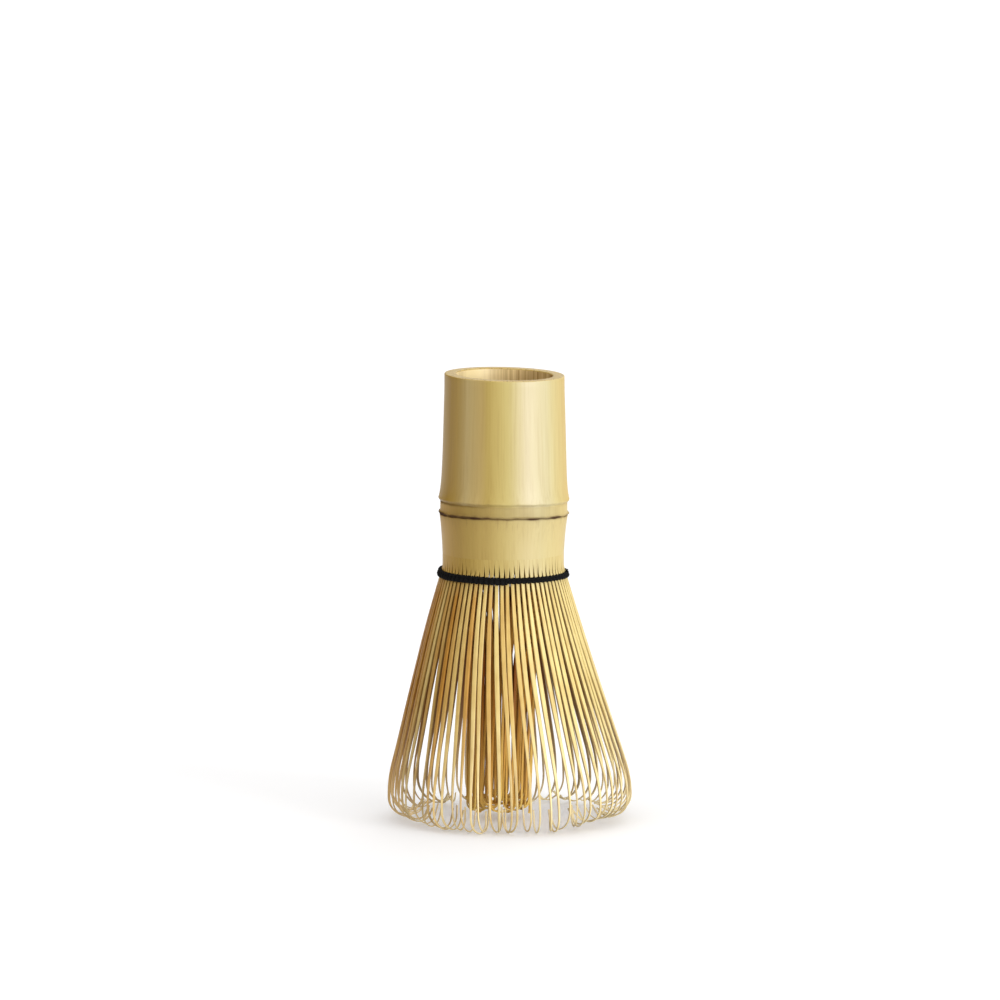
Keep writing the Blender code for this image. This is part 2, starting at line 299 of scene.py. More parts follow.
def turned_surface(radius, height, azimuths):
    """A section (radius, height) turned round the axis. Each is an array of section point by
    azimuth, and the first and last section points lie on the axis, where they close to a pole."""
    rings = np.stack([radius * np.cos(azimuths), radius * np.sin(azimuths), height], -1)
    count, sides = len(rings) - 2, len(azimuths)
    points = np.concatenate([rings[1:-1].reshape(-1, 3), rings[:1, 0], rings[-1:, 0]])
    index = np.arange(count * sides).reshape(count, sides)
    upper, lower = index[:-1], index[1:]
    walls = np.stack([upper, np.roll(upper, -1, 1), np.roll(lower, -1, 1), lower], -1)
    poles = count * sides + np.zeros((sides, 1), int)
    first = np.hstack([poles, np.roll(index[0], -1)[:, None], index[0][:, None]])
    last = np.hstack([poles + 1, index[-1][:, None], np.roll(index[-1], -1)[:, None]])
    return points, walls.reshape(-1, 4).tolist() + first.tolist() + last.tolist()


def by_point(rings):
    """Values of a turned surface's section points by azimuth, in the order of its mesh points."""
    return np.concatenate([rings[1:-1].ravel(), rings[0, :1], rings[-1, :1]])


def bent_lines(radius, height, strokes):
    """Middle lines of tines, drawn downwards in the plane through the axis, as tine by station.

    Each stroke is (length, turn, pieces): a round stretch that turns the tine outwards by turn.
    The line moves by a chord of each piece, along the lean halfway through it. Returns the radius,
    the height and the distance walked.
    """
    steps = np.concatenate([np.repeat(s[0][:, None] / s[2], s[2], 1) for s in strokes], 1)
    turns = np.concatenate([np.repeat(s[1][:, None] / s[2], s[2], 1) for s in strokes], 1)
    middle = np.cumsum(turns, 1) - turns / 2
    chord = steps * np.sinc(turns / 2 / math.pi)
    start = np.zeros((len(steps), 1))
    walked = np.hstack([start, np.cumsum(steps, 1)])
    radii = radius + np.hstack([start, np.cumsum(chord * np.sin(middle), 1)])
    heights = height - np.hstack([start, np.cumsum(chord * np.cos(middle), 1)])
    return radii, heights, walked


def drift(height):
    """How far the whisk's middle strays sideways, right positive, at a height: a little left at
    the thread, and right at the foot of the skirt."""
    left = -0.3 * MM * (1 - smoothstep(height, 62 * MM, 92 * MM))
    right = 1.7 * MM * (1 - smoothstep(height, 2 * MM, 60 * MM)) ** 1.4
    return left + right


def carried_sections(middle, facing, left, right, depth, twist, cut):
    """The corners of sections carried along middle lines, as tine by station by side.

    A section is a rectangle whose corners are cut off by the share cut and whose faces are
    slightly crowned. It faces the azimuth facing, turned on by the twist. Its x is scaled by the
    half width to the left or right of the line, and its y by half the depth, outwards. A line
    that would pass through the floor is squeezed towards the thread until its lowest corner lies
    just above the floor.
    Returns the corners, how far out each lies as -1 to 1, and its x and y in metres.
    """
    tangent = np.gradient(middle, axis=1)
    tangent /= np.linalg.norm(tangent, axis=-1, keepdims=True)
    across = np.stack([-np.sin(facing), np.cos(facing), 0 * facing], -1)
    across = across - (across * tangent).sum(-1, keepdims=True) * tangent
    across /= np.linalg.norm(across, axis=-1, keepdims=True)
    through = np.cross(tangent, across)
    turn = twist[..., None]
    across, through = (
        np.cos(turn) * across + np.sin(turn) * through,
        np.cos(turn) * through - np.sin(turn) * across,
    )
    one, nought = np.ones_like(cut), np.zeros_like(cut)
    flat, crown = 1 - cut, 1 - CROWN * (cut > 0.1)
    x = np.stack([one, one, flat, nought, -flat, -one, -one, -one, -flat, nought, flat, one], -1)
    y = np.stack(
        [nought, flat, crown, one, crown, flat, nought, -flat, -crown, -one, -crown, -flat], -1
    )
    sideways = np.where(x > 0, right[..., None], left[..., None]) * x
    outwards = depth[..., None] / 2 * y
    corners = middle[:, :, None] + sideways[..., None] * across[:, :, None]
    corners += outwards[..., None] * through[:, :, None]
    floor, thread = 0.02 * MM, THREAD_MIDDLE
    lowest = np.minimum(corners[..., 2].min((1, 2)), floor)[:, None, None]
    squeezed = thread - (thread - corners[..., 2]) * (thread - floor) / (thread - lowest)
    corners[..., 2] = np.where(corners[..., 2] < thread, squeezed, corners[..., 2])
    return corners, y, sideways, outwards


def tine_pieces(name, count, sections, walked, tone, finish):
    """Cut the tines, in order round the whisk, into groups that each make one piece, with its
    grain, its tone with any painted light and shade, and its skin side. The sections are what
    carried_sections returns. Yields each group's number and piece."""
    corners, outward, sideways, outwards = sections
    tines, stations, sides = corners.shape[:3]
    each = tines // count
    along = np.broadcast_to(walked[:, :, None], (tines, stations, sides))
    own = np.broadcast_to(np.arange(tines)[:, None, None] * 7.3 * MM, along.shape)
    grain = np.stack([sideways + own, outwards, along], -1)
    share = along / along.max()
    tones_and_painted_light = np.broadcast_to(tone[:, None, None], along.shape)
    faces = tube_faces(each, stations, sides)
    for number in range(count):
        rows = slice(number * each, (number + 1) * each)
        values = {
            "grain": grain[rows].reshape(-1, 3),
            "tone": tones_and_painted_light[rows],
            "along": share[rows],
            "skin_side": (outward[rows] + 1) / 2,
        }
        label = f"{name}_{number + 1:02d}"
        yield number + 1, make_piece(label, corners[rows], faces, finish, values, crease=25)


# --- Finishes -----------------------------------------------------------------------------------


def add_node(material, kind, inputs=None, settings=None, output=0):
    """Add a node and return one of its outputs. The inputs are numbers, colours or linked outputs
    for its sockets, and the settings are its own options, or its colour stops."""
    tree = material.node_tree
    node = tree.nodes.new(f"ShaderNode{kind}")
    for option, value in (settings or {}).items():
        if option == "stops":
            elements = node.color_ramp.elements
            while len(elements) < len(value):
                elements.new(1.0)
            for element, (position, colour) in zip(elements, value):
                element.position, element.color = position, linear_colour(colour)
        else:
            setattr(node, option, value)
    for socket, value in (inputs or {}).items():
        if isinstance(value, bpy.types.NodeSocket):
            tree.links.new(value, node.inputs[socket])
        else:
            node.inputs[socket].default_value = value
    return node.outputs[output]


def new_finish(name, roughness, **uniform):
    """A material with its shader's uniform values set on the shader's own sockets. Returns the
    material, its shader's inputs, and what adds a node or a link to it."""
    material = bpy.data.materials.new(name)
    material.use_nodes = True
    inputs = material.node_tree.nodes["Principled BSDF"].inputs
    inputs["Roughness"].default_value = roughness
    for socket, value in uniform.items():
        inputs[socket.replace("_", " ")].default_value = value
    return material, inputs, partial(add_node, material), material.node_tree.links.new


def round_the_axis(node, stops):
    """Colour stops laid round the axis: 0 and 1 at the back, 0.25 left, 0.5 front, 0.75 right.
    The share is the angle whose tangent is x / -y, over a full turn."""
    place = node("TexCoord", output="Object")
    axes = node("SeparateXYZ", {"Vector": place}).node.outputs
    forward = node("Math", {0: axes["Y"], 1: -1.0}, TIMES)
    turn = node("Math", {0: axes["X"], 1: forward}, {"operation": "ARCTAN2"})
    share = node("MapRange", {"Value": turn, "From Min": -math.pi, "From Max": math.pi})
    return node("ValToRGB", {"Fac": share}, {"stops": stops})


def polished_culm(colours):
    """Bamboo culm with its skin on, smoked, dried and polished by hand.

    The skin is a hard, waxy straw yellow with a soft gloss. Fibres 0.3 mm apart show as fine
    upright streaks, drawn twice as coarse so that they show, and the colour changes in broad
    upright bands a few millimetres wide. Round the axis the skin also has painted shade at the left
    and a painted highlight at the front right. The bore has painted light at the left and painted
    shade at the right. The cut rim shows the fibres' ends as dots, and the sheath left a dark scar
    round the node, which also carries painted shade, darker at the left.
    """
    material, inputs, node, link = new_finish("bamboo_culm_polished", 0.42, IOR=1.5)
    above, below, inside, cut, scar = (
        node("Attribute", None, {"attribute_name": label}, "Fac")
        for label in ("internode", "streaks", "inside", "cut", "scar")
    )
    place = node("TexCoord", output="Object")
    upright = node("Mapping", {"Vector": place, "Scale": (1, 1, 0.012)})
    fibres, bands, mottle = (
        node("TexNoise", {"Vector": where, "Scale": 1 / size, "Detail": detail, "Roughness": rough})
        for where, size, detail, rough in (
            (upright, 0.6 * MM, 4.0, 0.65),
            (upright, 7 * MM, 2.0, 0.5),
            (place, 9 * MM, 3.0, 0.6),
        )
    )

    # The skin, streaked by its fibres, and more under the node, where the sheath's roots were.
    # The skin's bands round the axis, above and below the node, with painted shade at the left and
    # a painted highlight at the front right.
    upper_skin_and_painted_light, lower_skin_and_painted_light = round_the_axis(node, UPPER_BANDS_AND_PAINTED_LIGHT), round_the_axis(node, LOWER_BANDS_AND_PAINTED_LIGHT)
    skin = node("Mix", {"Factor": above, 6: lower_skin_and_painted_light, 7: upper_skin_and_painted_light}, BLEND, 2)
    for share, where, stops in (
        (0.35, bands, ((0.3, "#d8cba8"), (0.5, "#fbf8f0"), (0.7, "#ffffff"))),
        (0.32, fibres, ((0.25, "#cbb27c"), (0.5, "#f4ecd8"), (0.75, "#ffffff"))),
    ):
        tint = node("ValToRGB", {"Fac": where}, {"stops": stops})
        skin = node("Mix", {"Factor": share, 6: skin, 7: tint}, TINT, 2)
    strong = node("MapRange", {"Value": fibres, "From Min": 0.5, "From Max": 0.7, "To Max": 0.6})
    strong = node("Math", {0: below, 1: strong}, TIMES)
    skin = node("Mix", {"Factor": strong, 6: skin, 7: linear_colour("#94713a")}, BLEND, 2)

    # The bore: painted light at the left and painted shade at the right, broken by uneven upright
    # stains.
    right = node("SeparateXYZ", {"Vector": place}, output="X")
    right = {"Value": right, "From Min": -9 * MM, "From Max": 9 * MM, "To Max": 0.7}
    uneven = node("Math", {0: bands, 1: 1.6, 2: -0.8}, {"operation": "MULTIPLY_ADD"})
    brown = {0: node("MapRange", right), 1: uneven}
    brown = node("Math", brown, {"operation": "ADD", "use_clamp": True})
    stripes = {"From Min": 0.35, "From Max": 0.65, "To Min": 0.55, "To Max": 1.45}
    stripes = node("MapRange", {"Value": fibres} | stripes)
    brown = node("Math", {0: brown, 1: stripes}, CLAMPED_TIMES)
    pale, bore_brown_and_painted_shade = linear_colour("#f8e4ae"), linear_colour("#885c0c")
    bore = node("Mix", {"Factor": brown, 6: pale, 7: bore_brown_and_painted_shade}, BLEND, 2)
    skin = node("Mix", {"Factor": inside, 6: skin, 7: bore}, BLEND, 2)

    # The saw cut: fibre bundles end as brown dots 0.55 mm apart.
    dots = node("TexVoronoi", {"Vector": place, "Scale": 1 / (0.55 * MM)}, output="Distance")
    end_grain = ((0.12, "#86662e"), (0.3, "#b6974a"), (0.6, "#c6a95c"))
    end_grain = node("ValToRGB", {"Fac": dots}, {"stops": end_grain})
    skin = node("Mix", {"Factor": cut, 6: skin, 7: end_grain}, BLEND, 2)

    # The sheath's scar and its painted shade, broken up by the mottle, and duller than the skin.
    broken = {"From Min": 0.3, "From Max": 0.6, "To Min": 0.65, "To Max": 1.25}
    broken = node("MapRange", {"Value": mottle} | broken)
    scarred_and_painted_shade = node("Math", {0: scar, 1: broken}, CLAMPED_TIMES)
    colour = node("Mix", {"Factor": scarred_and_painted_shade, 6: skin, 7: tuple(colours.scar)}, BLEND, 2)
    link(colour, inputs["Base Color"])
    dull = node("MapRange", {"Value": fibres, "To Min": 0.34, "To Max": 0.52})
    rough = {"operation": "MULTIPLY_ADD", "use_clamp": True}
    link(node("Math", {0: scarred_and_painted_shade, 1: 0.6, 2: dull}, rough), inputs["Roughness"])
    relief = node("Bump", {"Height": fibres, "Strength": 0.25, "Distance": 0.06 * MM})
    link(relief, inputs["Normal"])
    return material


def split_bamboo(name, root, reach, base, pith_side_and_painted_shade, pale, roughness):
    """Bamboo split with a knife and scraped thin, with a satin finish.

    The side that was nearest the skin is paler, and the side nearest the pith browner; that brown
    also paints the shade in the gaps between the tines. A tine has the root's colour, which carries
    painted shade and highlight too, up to the share reach of its length, then the base's, and
    pales towards its thin tip. Fibres run along each tine, 0.15 mm apart and drawn twice as coarse
    so that they show, and no two tines have quite the same tone; on the skirt the tone also paints
    light on the right and shade on the left.
    """
    material, inputs, node, link = new_finish(name, roughness, IOR=1.5, Specular_IOR_Level=0.3)
    grain = node("Attribute", None, {"attribute_name": "grain"}, "Vector")
    tone, side, along = (
        node("Attribute", None, {"attribute_name": label}, "Fac")
        for label in ("tone", "skin_side", "along")
    )
    drawn_out = node("Mapping", {"Vector": grain, "Scale": (1, 1, 0.03)})
    fibres, clouds = (
        node("TexNoise", {"Vector": where, "Scale": 1 / size, "Detail": detail, "Roughness": 0.6})
        for where, size, detail in ((drawn_out, 0.3 * MM, 3.0), (grain, 6 * MM, 2.0))
    )
    free = node("MapRange", {"Value": along, "From Min": 0.05, "From Max": reach})
    thin = node("MapRange", {"Value": along, "From Min": 0.45, "From Max": 0.92, "To Max": 0.8})
    face = node("Mix", {"Factor": thin, 6: base, 7: pale}, BLEND, 2)
    face = node("Mix", {"Factor": free, 6: round_the_axis(node, root), 7: face}, BLEND, 2)
    flesh_and_painted_shade = node("Mix", {"Factor": thin, 6: pith_side_and_painted_shade, 7: pale}, BLEND, 2)
    colour = node("Mix", {"Factor": side, 6: flesh_and_painted_shade, 7: face}, BLEND, 2)

    # Each tine's own tone, with painted light on the skirt's right and painted shade on its left,
    # which its root and its thin tip show least, then fibres and clouds.
    tone_and_light_ramp = ((0.0, "#b07424"), (0.42, "#d8a850"), (0.74, "#f3e6d1"), (1.0, "#ffffff"))
    less = {"operation": "MULTIPLY_ADD", "use_clamp": True}
    tone_and_light_share = node("Math", {0: thin, 1: -0.75, 2: node("Math", {0: free, 1: 0.88}, TIMES)}, less)
    cloud_share = node("Math", {0: free, 1: 0.35}, TIMES)
    for share, where, stops in (
        (tone_and_light_share, tone, tone_and_light_ramp),
        (0.45, fibres, ((0.25, "#b9924f"), (0.5, "#f3ead2"), (0.75, "#ffffff"))),
        (cloud_share, clouds, ((0.3, "#cdb283"), (0.65, "#ffffff"))),
    ):
        tint = node("ValToRGB", {"Fac": where}, {"stops": stops})
        colour = node("Mix", {"Factor": share, 6: colour, 7: tint}, TINT, 2)
    link(colour, inputs["Base Color"])
    dull = {"Value": fibres, "To Min": roughness - 0.08, "To Max": roughness + 0.1}
    link(node("MapRange", dull), inputs["Roughness"])
    relief = node("Bump", {"Height": fibres, "Strength": 0.3, "Distance": 0.03 * MM})
    link(relief, inputs["Normal"])
    return material


def twisted_cotton(colours):
    """Black dyed cotton thread, twisted from three plies and pulled tight.

    It is dull, with a faint fuzz that catches the light. Its fibres cross each ply at a slant.
    They are far finer than the 0.16 mm grain here, which is drawn so coarse that it shows.
    """
    name = "cotton_thread_dyed_black"
    material, inputs, node, link = new_finish(name, 0.8, Specular_IOR_Level=0.15)
    grain = node("Attribute", None, {"attribute_name": "grain"}, "Vector")
    slanted = node("Mapping", {"Vector": grain, "Scale": (1, 1, 0.35)})
    fuzz = {"Scale": 1 / (0.16 * MM), "Detail": 3.0, "Roughness": 0.7}
    fibres = node("TexNoise", {"Vector": slanted} | fuzz)
    worn = node("MapRange", {"Value": fibres, "From Min": 0.45, "From Max": 0.8})
    dyed, faded = tuple(colours.cotton), linear_colour("#0d0c0e")
    link(node("Mix", {"Factor": worn, 6: dyed, 7: faded}, BLEND, 2), inputs["Base Color"])
    relief = node("Bump", {"Height": fibres, "Strength": 0.6, "Distance": 0.08 * MM})
    link(relief, inputs["Normal"])
    return material


def matt_paper(name, colour, glow):
    """White studio paper, matt, with a little light of its own so that it stays white, and a
    faint grain 0.4 mm across."""
    material, inputs, node, link = new_finish(name, 0.9, Emission_Strength=glow)
    inputs["Base Color"].default_value = linear_colour(colour)
    inputs["Emission Color"].default_value = WHITE
    grain = node("TexNoise", {"Scale": 1 / (0.4 * MM), "Detail": 2.0})
    relief = node("Bump", {"Height": grain, "Strength": 0.05, "Distance": 0.1 * MM})
    link(relief, inputs["Normal"])
    return material


# --- The culm -----------------------------------------------------------------------------------


def bell(offset, width):
    """1 in the middle, falling away as e^(-(offset / width)^2)."""
    return np.exp(-((offset / width) ** 2))


def collar_radius(height, rim, sheath):
    """The radius below the node: a waist 0.15 mm inside the rim's radius, and a shoulder 1.15 mm
    high that dies away downwards as e^(-drop / 7.5 mm)."""
    return rim - 0.15 * MM + 1.15 * MM * np.exp(-(sheath - height) / (7.5 * MM))


def culm_section(culm):
    """The culm's section from the top of the septum, up the bore, over the rim, down the outside
    and round the collar's end to the septum's underside, as (radius, height, zone). The zones are
    0 outside, 1 inside and 2 on the rim's saw cut.

    Outside, the internode above the node swells towards it, half as a straight taper 27 mm long
    and half as e^(-rise / 2.2 mm), and the one below is a waist plus a shoulder that dies away
    downwards as e^(-drop / 7.5 mm). The band between the scars lies 0.71 mm inside the swelling.
    """
    rim, top = culm.rim_diameter / 2, culm.height
    bore = rim - culm.wall
    node = THREAD_MIDDLE + culm.node_above_thread
    sheath = node - culm.node_band
    corner, fillet, edge = np.linspace(0, math.pi / 2, 6), 0.8 * MM, 0.28 * MM

    def outside(height):
        """The outside's radius at a height."""
        rise = height - node
        taper = np.clip(1 - rise / (27 * MM), 0, 1)
        upper = rim + culm.node_swelling * (0.5 * taper + 0.5 * np.exp(-rise / (2.2 * MM)))
        lower = collar_radius(height, rim, sheath)
        band = rim + culm.node_swelling - 0.71 * MM
        radius = band + (upper - band) * smoothstep(height, node - 0.05 * MM, node + 0.8 * MM)
        lips = sheath + np.array([-0.15, 0.15]) * MM
        radius = lower + (radius - lower) * smoothstep(height, *lips)
        radius -= 0.03 * MM * bell(height - node + 0.05 * MM, 0.25 * MM)
        radius += 0.34 * MM * bell(height - sheath - 0.06 * MM, 0.17 * MM)
        radius -= 0.16 * MM * bell(height - sheath + 0.32 * MM, 0.12 * MM)
        return radius

    heights = np.concatenate(
        [
            np.linspace(top - edge, node + 9 * MM, 14)[1:],
            np.linspace(node + 9 * MM, node + 2 * MM, 12)[1:],
            np.linspace(node + 2 * MM, sheath - 1.2 * MM, 62)[1:],
            np.linspace(sheath - 1.2 * MM, COLLAR_END, 16)[1:],
        ]
    )
    septum = node - 0.4 * MM
    floor = septum - 2.6 * MM
    end, under = collar_radius(COLLAR_END, rim, sheath), COLLAR_END - 0.3 * MM
    sections = [
        ([0, bore * 0.4, bore * 0.8], [septum] * 3, 1),
        (bore - fillet + fillet * np.sin(corner), septum + fillet - fillet * np.cos(corner), 1),
        ([bore] * 8, np.linspace(septum + fillet, top - edge, 9)[1:], 1),
        (bore + edge - edge * np.cos(corner[1:]), top - edge + edge * np.sin(corner[1:]), 2),
        (np.linspace(bore + edge, rim - edge, 9)[1:], [top] * 8, 2),
        (rim - edge + edge * np.sin(corner[1:3]), top - edge + edge * np.cos(corner[1:3]), 2),
        (rim - edge + edge * np.sin(corner[3:]), top - edge + edge * np.cos(corner[3:]), 0),
        (outside(heights), heights, 0),
        (end - np.array([0.2, 0.5]) * MM, COLLAR_END - np.array([0.01, 0.3]) * MM, 0),
        ([rim - 1.5 * MM, bore, bore], [under, under, COLLAR_END + 2 * MM], 1),
        ([bore] * 2, np.linspace(COLLAR_END + 2 * MM, floor - fillet, 4)[1:3], 1),
        (bore - fillet + fillet * np.cos(corner), floor - fillet + fillet * np.sin(corner), 1),
        ([bore * 0.5, 0], [floor] * 2, 1),
    ]
    radius = np.concatenate([np.asarray(s[0], float) for s in sections])
    height = np.concatenate([np.asarray(s[1], float) for s in sections])
    zone = np.concatenate([np.full(len(s[0]), s[2]) for s in sections])
    return radius, height, zone


class WHISK_OT_culm(bpy.types.Operator):
    """Turn the culm: the open handle, the node with its scars and septum, and the collar"""

    bl_idname = "whisk.culm"
    bl_label = "Culm"

    def execute(self, context):
        """The section turned round the axis. The rim's height falls to the right by the slant, and
        the scars tilt, bow and waver a little."""
        culm = context.scene.whisk_culm
        radius, height, zone = culm_section(culm)
        azimuths = np.linspace(0, math.tau, CULM_SIDES, endpoint=False)
        node = THREAD_MIDDLE + culm.node_above_thread
        sheath = node - culm.node_band
        outer = (zone == 0)[:, None]
        around = np.ones(CULM_SIDES)
        radius, height = radius[:, None] * around, height[:, None] * around
        right, front = np.cos(azimuths), -np.sin(azimuths)
        near_rim = smoothstep(height, culm.height - 8 * MM, culm.height - 0.5 * MM)
        near_node = bell(height - node + 1 * MM, 6 * MM) * outer
        scars = 0.45 * MM * front**2 - 0.24 * MM * right - 0.05 * MM
        scars = scars + 0.05 * MM * ripple(azimuths, 40, 5)
        moved = height - near_rim * math.tan(culm.rim_slant) * culm.rim_diameter / 2 * right
        moved = moved + near_node * scars

        # The scar's lip is torn, and the whole node is a little out of round.
        rough = bell(height - sheath, 0.35 * MM) * outer
        radius = radius + rough * 0.07 * MM * ripple(azimuths, 70, 11)
        radius = radius + outer * 0.07 * MM * ripple(azimuths, 3, 2) * near_node

        # A dark line under the sheath's scar and a faint one at the node, both darkened at the left
        # by painted shade, the faint one being mostly painted shade; a stain about the first, with
        # painted shade added at the left; and painted shade on the band between them, strongest at
        # the front.
        left = (1 - right) / 2
        line = bell(height - sheath + 0.16 * MM, 0.32 * MM)
        line = line * (0.75 + 0.8 * left**2 + 0.25 * ripple(azimuths, 30, 21))
        faint = bell(height - node + 0.1 * MM, 0.3 * MM)
        faint = faint * (0.07 + 0.60 * left**3 + 0.06 * ripple(azimuths, 24, 22))
        stain_and_painted_shade = np.exp(-np.abs(height - sheath) / (1.1 * MM)) * (0.06 + 0.22 * left**2)
        band = smoothstep(height, sheath, sheath + 0.2 * MM)
        band = band * smoothstep(-height, -node, -node + 0.3 * MM)
        scar = np.clip((line + faint + stain_and_painted_shade + 0.20 * band * np.clip(front, 0, 1)) * outer, 0, 1)

        # The sheath's roots leave streaks, which die away downwards.
        drop = np.clip(sheath - 0.3 * MM - height, 0, None)
        streaks = np.exp(-drop / (3.5 * MM)) * (height < sheath) * outer
        upper = (height > node - 0.1 * MM) * outer
        points, faces = turned_surface(radius, moved, azimuths)
        points[:, 0] += drift(points[:, 2])
        inside, cut = ((zone == number)[:, None] * around for number in (1, 2))
        rings = {"scar": scar, "streaks": streaks, "internode": upper, "inside": inside, "cut": cut}
        values = {label: by_point(ring) for label, ring in rings.items()}
        finish = polished_culm(context.scene.whisk_colours)
        piece = make_piece("whisk_culm", points, faces, finish, values)
        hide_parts("handle")
        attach(piece, HANDLE)
        return {"FINISHED"}


# --- The tines ----------------------------------------------------------------------------------


def placed_lines(radii, heights, azimuth, aside):
    """Middle lines in space: each line's radius turned to its azimuth, plus a distance aside."""
    turned = azimuth[:, None]
    x = radii * np.cos(turned) - aside * np.sin(turned)
    y = radii * np.sin(turned) + aside * np.cos(turned)
    return np.stack([x, y, heights], -1)


class WHISK_OT_outer_tines(bpy.types.Operator):
    """Split and bend the outer tines, which make the skirt"""

    bl_idname = "whisk.outer_tines"
    bl_label = "Outer tines"

    def execute(self, context):
        """Each line leaves the collar straight, leans out at the thread, runs straight down the
        flare, turns down at the shoulder and hooks in. The slits between the tines open as a V
        above the thread. Seeded draws move each tine a little and turn its hook aside."""
        culm, tines = context.scene.whisk_culm, context.scene.whisk_tines
        random = np.random.default_rng(41)
        count, column, stray = tines.pairs, (tines.pairs, 1), tines.unevenness
        azimuth = (np.arange(count) - 1) * math.tau / count
        right, front = np.cos(azimuth), -np.sin(azimuth)

        # The tops end inside the collar, with their skins just inside its own.
        sheath = THREAD_MIDDLE + culm.node_above_thread - culm.node_band
        flush = collar_radius(COLLAR_END, culm.rim_diameter / 2, sheath) - 0.015 * MM
        depth_root, depth_tip = tines.outer_depth, 0.26 * MM
        top, root = THREAD_MIDDLE + 5.2 * MM, flush - depth_root / 2

        # The hook is the wide turn at the foot, and the curl is the tighter one at its end.
        hook_radius = (4.9 + stray * random.uniform(-1.0, 1.0, count)) * MM
        hook_turn = np.radians(78) * np.ones(count)
        curl_radius = (2.6 + stray * random.uniform(-0.5, 0.5, count)) * MM
        curl = 70 + 28 * np.clip(front, 0, 1) - 34 * np.clip(right, 0, 1)
        curl_turn = np.radians(curl + stray * random.uniform(-16, 16, count))
        tip = (0.6 + 2.2 * np.clip(front, 0, 1) + stray * random.uniform(0, 1.0, count)) * MM

        # The lean takes the straight from the bend's round to the shoulder's.
        collar, bend, shoulder = 2.7 * MM, 6.0 * MM, 30.0 * MM
        out = tines.skirt_diameter / 2 - depth_tip / 2 - root - bend - shoulder
        down = top - collar - (hook_radius + depth_tip / 2)
        straight = np.sqrt(out**2 + down**2 - (bend + shoulder) ** 2)
        lean = np.arctan2(out, down) + np.arctan2(bend + shoulder, straight)
        same = np.ones(count)
        strokes = [
            (collar * same, 0 * same, 4),
            (bend * lean, lean, 5),
            (straight, 0 * same, 12),
            (shoulder * lean, -lean, 6),
            (hook_radius * hook_turn, -hook_turn, 8),
            (curl_radius * curl_turn, -curl_turn, 8),
            (tip, 0 * same, 2),
        ]
        widest, curled = (sum(stroke[2] for stroke in strokes[:ended]) for ended in (4, 5))
        radii, heights, walked = bent_lines(root, top, strokes)

        # Some tines are shorter, and all are stretched so that they end at their own height.
        lifted = (0.6 * smoothstep(-right, 0.35, 1.0) + 1.2 * smoothstep(right, 0.2, 0.9)) * MM
        lifted = lifted + stray * 0.6 * MM * random.random(count) ** 2
        lowest = heights.min(1) - depth_tip / 2
        below = smoothstep(-heights, -THREAD_MIDDLE, 0)
        stretch = (THREAD_MIDDLE - lifted) / (THREAD_MIDDLE - lowest)
        under = THREAD_MIDDLE - heights
        heights = np.where(under > 0, THREAD_MIDDLE - under * stretch[:, None], heights)
        radii = radii + below * stray * 0.35 * MM * random.normal(size=column)

        # The hook swings aside about its widest place, and each tine bows and leans a little.
        swing = 13 * ripple(azimuth, 14, 51) + random.normal(0, 9, count)
        swing = np.radians(stray * swing)[:, None]
        inward = np.where(np.arange(radii.shape[1]) > widest, radii[:, widest, None] - radii, 0)
        radii = radii + inward * (1 - np.cos(swing))
        bow = np.sin(math.pi * np.clip(under / THREAD_MIDDLE, 0, 1))
        aside = inward * np.sin(swing)
        aside += below * stray * 0.28 * MM * random.normal(size=column)
        aside += bow * stray * 0.22 * MM * random.normal(size=column)
        aside += below * SKIRT_TURN * radii
        middle = placed_lines(radii, heights, azimuth, aside)
        middle[..., 0] += drift(middle[..., 2])

        # Above the thread each side reaches the next tine where the slit between them ends.
        share = np.clip(walked / walked[:, curled, None], 0, 1)
        apex = THREAD_MIDDLE + random.uniform(1.7, 4.2, count + 1) * MM
        apex[-1] = apex[0]
        pitch = math.tau / count * (radii + depth_root / 2)
        full = pitch / 2 - 0.003 * MM
        # A tine is widest in its upper third, and is scraped thin and narrow towards its curl.
        width = tines.outer_width * (1 + 0.42 * smoothstep(share, 0.1, 0.35))
        width = width * (1 - 0.62 * smoothstep(share, 0.42, 1.0))
        width = width * (1 + 0.12 * stray * random.normal(size=column) * below)
        rise = heights - THREAD_MIDDLE - 0.3 * MM
        closed = (
            np.clip(rise / (side[:, None] - THREAD_MIDDLE), 0, 1) for side in (apex[:-1], apex[1:])
        )
        halves = [width / 2 + (full - width / 2) * share_closed for share_closed in closed]
        depth = depth_root + 0.15 * MM * smoothstep(share, 0.05, 0.3)
        depth = depth + (depth_tip - depth) * share**2.0
        cut = 0.02 + 0.24 * smoothstep(-heights, -THREAD_MIDDLE - 3.0 * MM, -THREAD_MIDDLE)
        # It turns aside with its hook, 44 mm to 60 mm along it.
        hooked = smoothstep(walked, 44 * MM, 60 * MM)
        twist = hooked * np.radians(stray * random.normal(0, 16, count))[:, None]
        facing = azimuth[:, None] + hooked * swing
        sections = carried_sections(middle, facing, *halves, depth, twist, cut)
        # A random tone for each tine, plus painted light on the right side and painted shade on the
        # left.
        tone = np.clip(0.90 + 0.46 * right + 0.15 * random.normal(size=count), 0, 1)
        base = tuple(context.scene.whisk_colours.outer)
        # The core's dark brown also paints the shade in the gaps between the tines.
        pith_side_and_painted_shade, pale = linear_colour("#824c14"), linear_colour("#fff4cc")
        # The roots take the lower skin's bands, with their painted shade and painted highlight.
        finish = split_bamboo("bamboo_split_skin_side", LOWER_BANDS_AND_PAINTED_LIGHT, 0.13, base, pith_side_and_painted_shade, pale, 0.42)
        pieces = tine_pieces("skirt_tines", OUTER_GROUPS, sections, walked, tone, finish)
        for number, piece in pieces:
            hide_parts(f"outer_tines_{number:02d}")
            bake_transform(piece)
        return {"FINISHED"}


